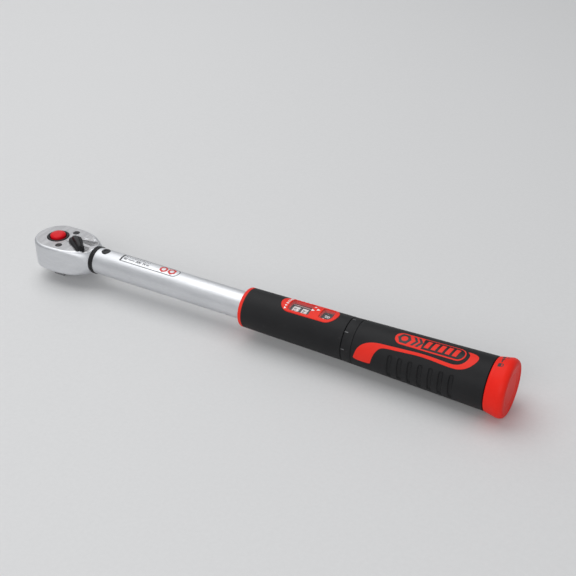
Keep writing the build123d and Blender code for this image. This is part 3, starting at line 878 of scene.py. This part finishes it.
def window_outline(node_name, inset=0.0):
    """Window opening with its front corners rounded less or more than its back ones."""
    low, high = box_mm(node_name)
    half = (high.y - low.y) / 2 - inset
    front, back = (2.5, 1.2) if node_name == "scale_lens" else (1.2, 4.4)
    front, back = max(front - inset, 0.3), max(back - inset, 0.3)
    x0, x1 = low.x + inset, high.x - inset
    corners = [(x1 - back, half - back, back), (x0 + front, half - front, front),
               (x0 + front, front - half, front), (x1 - back, back - half, back)]
    return round_corners(corners, 6)


def flat_wrap(piece, radius, step=1.0):
    """Bend a plan plate so that its v stays the true sideways place."""
    slice_plan(piece.data, step)
    skin = as_function(radius)
    for vertex in piece.data.vertices:
        x, v, z = vertex.co / MM
        r = skin(x) + z
        vertex.co = Vector((x, v, AXIS + sqrt(max(r * r - v * v, 0)))) * MM
    smooth(piece)
    return piece


BEZEL_FIT = 0.06  # keeps the bezel inside its node's outline
LENS_SINK = -0.75  # middle of bezel and lenses, from the skin


def window_bezel():
    r = BEZEL_HALF
    outline = (arc((BEZEL_X1 - r, 0), r - BEZEL_FIT, -90, 90, 20)
               + arc((BEZEL_X0 + r, 0), r - BEZEL_FIT, 90, 270, 20))
    piece = plate("window_bezel_moulded", [outline, window_outline("scale_lens"),
                                           window_outline("fine_lens")], 2.2, 0.35)
    flat_wrap(piece, on_skin(LENS_SINK))
    settle(piece, "wrench_body", RED, "red_plastic", "window_bezel")


def window_wells():
    """Coloured walls of the openings below the lenses."""
    rims = [plate(name + "_well", [window_outline(name, 0.02), window_outline(name, 0.7)], 2.0)
            for name in ("scale_lens", "fine_lens")]
    piece = flat_wrap(join("window_wells", rims), on_skin(-2.3))
    settle(piece, "wrench_body", RED, "red_plastic")


def lenses():
    for name in ("scale_lens", "fine_lens"):
        piece = flat_wrap(plate(name + "_clear", [window_outline(name)], 1.0, 0.1), on_skin(LENS_SINK))
        settle(piece, "wrench_body", WINDOW, "clear_lens", name)


def bezel_print():
    """White figures beside the main window and pointers between the windows."""
    low, high = box_mm("scale_lens")
    marks = []
    for row, figure in enumerate(("4", "8", "12", "16", "20")):
        marks.append(lettering("bezel_figure", figure, 2.5, low.x - 2.4, -5.2 + 3.2 * row, 90))
    for i in range(4):
        x = low.x + 0.8 + 4.2 * i
        marks.append(bar("bezel_dash", x, x + 2.4, 8.9, 9.8, 0.2))
    for x, v, size in ((low.x - 2.0, -8.0, 1.1), (high.x + 2.4, 3.4, 1.2), (high.x + 2.0, -2.0, 1.5),
                       (high.x + 6.4, 0.4, 1.6)):
        marks.append(mark("bezel_pointer", [(x - size, v - size), (x + size, v), (x - size, v + size)]))
    piece = flat_wrap(join("bezel_print", marks), on_skin(0.38))
    settle(piece, "wrench_body", INK_WHITE, "red_plastic")


def main_scale():
    """Slider with white columns of figures and two lines; it shows through the main window."""
    low, high = box_mm("scale_slider")
    outer = high.z - AXIS
    half = (high.y - low.y) / 2
    face = rounded_box_outline(low.x, high.x, -half, half, 0.6)
    base = flat_wrap(plate("scale_slider_printed", [face], 1.5, 0.1), outer - 0.8)
    settle(base, "nut", SCALE_BLACK, "scale_white", "scale_slider")
    columns, figures = [], []
    rows = [v for v in (-half + 2.0 + 2.7 * row for row in range(5)) if v <= half - 8.0]
    for first, width in ((low.x + 5.2, 6.4), (low.x + 14.2, 5.6), (low.x + 23.0, 6.0)):
        last = first + width
        columns.append(bar("scale_column", first, last, -half + 0.4, half - 7.2, 0.3, 6))
        for row, v in enumerate(rows):
            figure = str(40 + 20 * row + 5 * len(columns))
            figures.append(lettering("scale_figure", figure, 1.9, first + width / 2 - 0.6, v))
            figures.append(bar("scale_tick", last - 1.3, last - 0.2, v - 0.2, v + 0.2))
    panel = flat_wrap(join("scale_columns", columns), outer - 0.02)
    settle(panel, "nut", SCALE_WHITE, "scale_white")
    printing = flat_wrap(join("scale_figures", figures), outer + 0.03)
    settle(printing, "nut", INK_BLACK, "scale_white")
    for name, ink, v in (("white", INK_WHITE, half - 4.6), ("red", INK_RED, half - 3.2)):
        line = bar("scale_line_" + name, low.x + 1, high.x - 1, v, v + 0.8)
        settle(flat_wrap(line, outer + 0.01), "nut", ink, "scale_white")


def fine_scale():
    """Figures round the drum that turns with the grip."""
    low, high = box_mm("fine_scale_drum")
    outer = (high.y - low.y) / 2
    marks = []
    pitch = 2 * pi * outer / 10
    for i in range(10):
        v = pitch * i - 0.6
        marks.append(lettering("fine_figure", f"{10 * i:02d}", 3.3, low.x + 4.8, v + 0.6))
        for side in (-1, 1):
            tick = v + side * pitch / 4
            marks.append(bar("fine_tick", low.x + 1.4, low.x + 3.2, tick - 0.25, tick + 0.25))
    piece = wrap(join("fine_figures", marks), outer + 0.02, map_radius=outer)
    settle(piece, "grip", INK_WHITE, "scale_white")


# ---- grip ----
def seam_collar():
    r0, r1 = skin_radius(COLLAR_X0), skin_radius(COLLAR_X1)
    profile = [(COLLAR_X0, 17.2), (COLLAR_X0, r0 - 0.35), (COLLAR_X0 + 0.35, r0),
               (COLLAR_X1 - 0.1, r1), (COLLAR_X1, r1 - 0.1), (COLLAR_X1, 17.2)]
    piece = turned_about_axis("seam_collar_moulded", profile, rounding=0.1)
    settle(piece, "grip", SOFT_BLACK, "black_soft", "seam_collar")
    for name, ink, shift in (("dark", INK_BLACK, 0.0), ("light", INK_GREY, -0.55)):
        ticks = []
        for i in range(8):
            v = r0 * radians(45 * i + 8) + shift
            ticks.append(bar("collar_tick", COLLAR_X0 + 0.4, COLLAR_X0 + 3.6, v - 0.27, v + 0.27))
        marks = wrap(join("collar_ticks_" + name, ticks), on_skin(0.02), map_radius=r0)
        settle(marks, "grip", ink, "black_soft")


SLOT_FIRST, SLOT_PITCH, SLOT_COUNT = 376.5, 9.42, 7  # finger slots along the grip
SLOT_HALF, SLOT_FLOOR, SLOT_DEPTH = 2.3, 1.1, 1.3  # half width at the rim and floor
SLOT_TOP, SLOT_LAST = 65.0, 118.0  # degrees from the top towards -Y


def slot_depth(x, degrees):
    """How deep the finger slots are at a place on the grip."""
    index = min(max(round((x - SLOT_FIRST) / SLOT_PITCH), 0), SLOT_COUNT - 1)
    along = x - SLOT_FIRST - index * SLOT_PITCH
    beyond = max(SLOT_TOP - degrees, degrees - SLOT_LAST, 0.0)
    away = hypot(along, radians(beyond) * skin_radius(x))
    slope = min(max((away - SLOT_FLOOR) / (SLOT_HALF - SLOT_FLOOR), 0.0), 1.0)
    return SLOT_DEPTH * (0.5 + 0.5 * cos(pi * slope))


def steps_between(stops):
    """Values from (value, spacing up to the next one) pairs."""
    values = []
    for (start, spacing), (end, _) in zip(stops, stops[1:]):
        count = max(1, round((end - start) / spacing))
        values += [start + (end - start) * i / count for i in range(count)]
    return values + [stops[-1][0]]


def grip_cover():
    """Soft cover with a row of finger slots on its near side."""
    x0, x1, bore, edge = GRIP_X0, GRIP_X1, 17.0, 0.45
    places = steps_between([(x0 + edge, 2.2), (373.0, 0.4), (436.5, 2.2), (x1 - edge, 0)])
    angles = steps_between([(-180.0, 3.0), (57.0, 1.1), (126.0, 3.0), (180.0, 0)])[:-1]
    rings = [[(x0, bore)] * len(angles), [(x0, skin_radius(x0) - edge)] * len(angles)]
    for x in places:
        rings.append([(x, skin_radius(x) - slot_depth(x, angle)) for angle in angles])
    rings += [[(x1, skin_radius(x1) - edge)] * len(angles), [(x1, bore)] * len(angles)]
    piece = closed_grid("grip_cover_moulded", [
        [(x, -r * sin(radians(angle)), AXIS + r * cos(radians(angle)))
         for (x, r), angle in zip(ring, angles)] for ring in rings])
    smooth(piece, 40)
    settle(piece, "grip", SOFT_BLACK, "black_soft", "grip_cover")


# upper edge then lower edge of the swoosh: (x, degrees from the top towards -Y)
SWOOSH_UPPER = [(342, 100), (343.5, 85), (345, 70), (348, 58), (352, 50), (357, 44.5), (363, 41.5),
                (370, 40.5), (380, 39), (390, 37.5), (400, 36), (410, 36), (420, 37.5),
                (428, 38.7), (433, 38), (437, 34), (440, 27), (441.5, 18), (441.8, 8), (440, 1),
                (438, -2)]
SWOOSH_LOWER = [(442, -3.4), (447, 0), (449.5, 6), (449.7, 15), (448, 25), (445, 35), (441, 42),
                (436, 46.2), (430, 47), (420, 45.5), (410, 43.5), (400, 43), (390, 45),
                (380, 47), (371, 48.5), (366.5, 51.5), (364, 58), (362, 68), (360.5, 80),
                (359.5, 92), (359, 100)]
SKIN_MAP = 22.5  # radius that turns degrees into plan millimetres


def smooth_outline(points, times=2):
    """Round a closed outline by cutting its corners."""
    for _ in range(times):
        cut = []
        for i, (x, v) in enumerate(points):
            next_x, next_v = points[(i + 1) % len(points)]
            cut.append((x * 0.75 + next_x * 0.25, v * 0.75 + next_v * 0.25))
            cut.append((x * 0.25 + next_x * 0.75, v * 0.25 + next_v * 0.75))
        points = cut
    return points


def grip_inlay():
    outline = [(x, -radians(a) * SKIN_MAP) for x, a in SWOOSH_UPPER + SWOOSH_LOWER]
    piece = plate("grip_inlay_moulded", [smooth_outline(outline)], 1.2, 0.25)
    wrap(piece, on_skin(-0.45), map_radius=SKIN_MAP)
    settle(piece, "grip", RED, "red_plastic", "grip_inlay")


BADGE_HALF = 7.1
BADGE_MIDDLE = 11.0  # degrees from the top towards -Y
PANEL_MARGIN = 1.2  # red rim round the black panel


def grip_badge():
    """Red pill with a black panel; plain bars and a nut stand where a mark would be."""
    low, high = box_mm("grip_badge")
    left, right = low.x + BADGE_HALF, high.x - BADGE_HALF
    split = low.x + 25.5  # the black panel starts here

    def lay_on(piece, lift, finish, slot, *replaced):
        wrap(piece, on_skin(lift), BADGE_MIDDLE, map_radius=SKIN_MAP)
        settle(piece, "grip", finish, slot, *replaced)

    outline = arc((right, 0), BADGE_HALF, -90, 90, 16) + arc((left, 0), BADGE_HALF, 90, 270, 16)
    pill = plate("grip_badge_moulded", [outline], 1.2, 0.3)
    lay_on(pill, -0.35, RED, "red_plastic", "grip_badge")

    half = BADGE_HALF - PANEL_MARGIN
    outline = [(split, -half)] + arc((right, 0), half, -90, 90, 14) + [(split, half)]
    lay_on(plate("badge_panel", [outline], 0.2, 0.04), 0.24, GLOSS_BLACK, "black_gloss")

    bars = []
    for i in range(5):
        x = split + 2.0 + 6.3 * i
        corners = [(x, -4.0), (x + 3.9, -4.0), (x + 5.7, 4.0), (x + 1.8, 4.0)]
        bars.append(plate("badge_bar", [corners], 0.24, 0.05))
    lay_on(join("badge_bars", bars), 0.40, RED, "red_plastic")

    nut_x = low.x + 8.6
    signs = [plate("badge_nut", [ring_outline(nut_x, 0, 6.2, 6), ring_outline(nut_x, 0, 3.0, 24)], 0.2)]
    for i in range(2):
        x = nut_x + 6.6 + 4.4 * i
        corners = [(x, -5.2), (x + 2.5, -5.2), (x + 5.9, 0), (x + 2.5, 5.2), (x, 5.2), (x + 3.4, 0)]
        signs.append(plate("badge_chevron", [corners], 0.2))
    lay_on(join("badge_signs", signs), 0.22, INK_BLACK, "red_plastic")


# ---- lock cap ----
CAP_X0 = GRIP_X1 + 0.5
CAP_SHOULDER = 474.0  # the cap widens up to here
CAP_SIDE_R = 26.3
CAP_FACE_R = 22.5  # the shoulder's rounding ends here
CAP_BORE = 14.3
DISH_R, DISH = 21.0, 1.2  # hollow in its end: radius and depth


def cap_side(x):
    return GRIP_R1 + (CAP_SIDE_R - GRIP_R1) * (x - CAP_X0) / (CAP_SHOULDER - CAP_X0)


def lock_cap():
    """Cap that widens to a round shoulder; a groove and a dish are in its end."""
    end = CAP_HIGH
    shoulder = [(CAP_SHOULDER + (end - CAP_SHOULDER) * sin(a),
                 CAP_FACE_R + (CAP_SIDE_R - CAP_FACE_R) * cos(a)) for a in quarter_turn(10)]
    rings = ((20.4, 0), (18.3, 0), (18.0, 0.18), (17.7, 0), (14.3, 0), (14.0, 0.18), (13.7, 0),
             (10, 0), (5, 0), (0, 0))  # radius, depth of the fine grooves
    dish = [(end - 0.25 - DISH * (1 - (r / DISH_R) ** 2) - groove, r) for r, groove in rings]
    profile = [(CAP_X0 - 3, CAP_BORE), (CAP_X0, CAP_BORE), (CAP_X0, GRIP_R1 - 0.5),
               (CAP_X0 + 0.5, cap_side(CAP_X0 + 0.5))]
    profile += [(x, cap_side(x)) for x in (465, 468, 471)] + shoulder
    profile += [(end - 0.45, 22.15), (end - 0.05, 21.6), (end - 0.02, DISH_R)] + dish
    profile.append((CAP_X0 - 3, 0))
    piece = turned_about_axis("lock_cap_moulded", profile, rounding=0.15, steps=128)
    settle(piece, "cap", CAP_RED, "red_cap", "lock_cap")


def cap_print():
    """Closed and open padlock with an arrow between them."""
    middle = CAP_X0 + 5.6
    marks = []
    for v, lift in ((-4.6, 0.0), (8.6, 0.9)):
        marks.append(bar("lock_body", middle - 2.0, middle + 0.8, v - 2.1, v + 2.1, 0.3, 3))
        hinge = (middle + 1.0 + lift, v)
        marks.append(mark("lock_bow", arc(hinge, 1.9, -90, 90, 10) + arc(hinge, 1.1, 90, -90, 10)))
    tip = [(middle - 1.8, 3.4), (middle + 1.6, 3.4), (middle - 0.1, 6.0)]
    marks += [bar("lock_arrow", middle - 0.6, middle + 0.4, -1.0, 3.6), mark("lock_tip", tip)]
    piece = join("cap_pictograms", marks)
    wrap(piece, lambda x: cap_side(x) + 0.03, map_radius=cap_side(middle))
    settle(piece, "cap", INK_BLACK, "red_cap")


# ---- stage, light and camera ----
def stage_floor():
    """Pale floor under the drive's tip and the cap's lower edge, where the wrench rests."""
    tip = box_mm("drive_gear")[0].z - 0.05
    heel = AXIS - CAP_R - 0.05
    slope = atan2(heel - tip, CAP_SHOULDER)
    reach = 6000
    corners = [(-reach, -reach, 0), (reach, -reach, 0), (reach, reach, 0), (-reach, reach, 0)]
    floor = new_piece("floor", mesh_from("floor", corners, [(0, 1, 2, 3)]))
    floor.data.transform(shifted(0, 0, tip) @ Matrix.Rotation(-slope, 4, "Y"))
    floor.data.materials.append(FLOOR)


def area_light(name, place, target, size, power):
    light = set_all(bpy.data.lights.new(name, "AREA"), shape="RECTANGLE", size=size[0],
                    size_y=size[1], energy=power)
    lamp = bpy.data.objects.new(name, light)
    bpy.context.scene.collection.objects.link(lamp)
    lamp.location = place
    direction = Vector(target) - Vector(place)
    lamp.rotation_euler = direction.to_track_quat("-Z", "Y").to_euler()


def studio():
    middle = (0.23, 0.0, 0.0)
    area_light("overhead_softbox", (-0.55, 0.15, 2.10), middle, (2.4, 1.8), 26)
    area_light("front_softbox", (0.60, -2.0, 1.30), middle, (1.8, 1.1), 18)
    area_light("back_softbox", (-1.10, 1.10, 0.85), (0.0, 0.0, 0.0), (1.4, 0.9), 2.4)
    world = bpy.data.worlds.new("studio")
    world.use_nodes = True
    background = world.node_tree.nodes["Background"]
    background.inputs["Color"].default_value = (0.95, 0.97, 1.0, 1)
    background.inputs["Strength"].default_value = 0.38
    bpy.context.scene.world = world
    bpy.context.scene.view_settings.view_transform = "Standard"


def camera():
    """Seen from the handle's side, looking down along the wrench to its head."""
    yaw, pitch = 29.087, 32.61
    place = Vector((643.84, -678.22, 530.72 + AXIS))
    data = set_all(bpy.data.cameras.new("view"), lens=64.18, sensor_width=36, clip_end=20)
    view = bpy.data.objects.new("view", data)
    view.location = place * MM
    view.rotation_euler = (radians(90 - pitch), 0, radians(yaw))
    bpy.context.scene.collection.objects.link(view)
    bpy.context.scene.camera = view


finish_nodes()
for build in (head_body, head_shank, cover_screws, button_ring, release_button, reverse_lever,
              main_spring, release_spring, neck_ring, pivot_pin, tube_label, sleeve_ring,
              window_bezel, window_wells, lenses, bezel_print, main_scale, fine_scale,
              seam_collar, grip_cover, grip_inlay, grip_badge, lock_cap, cap_print,
              stage_floor, studio, camera):
    build()
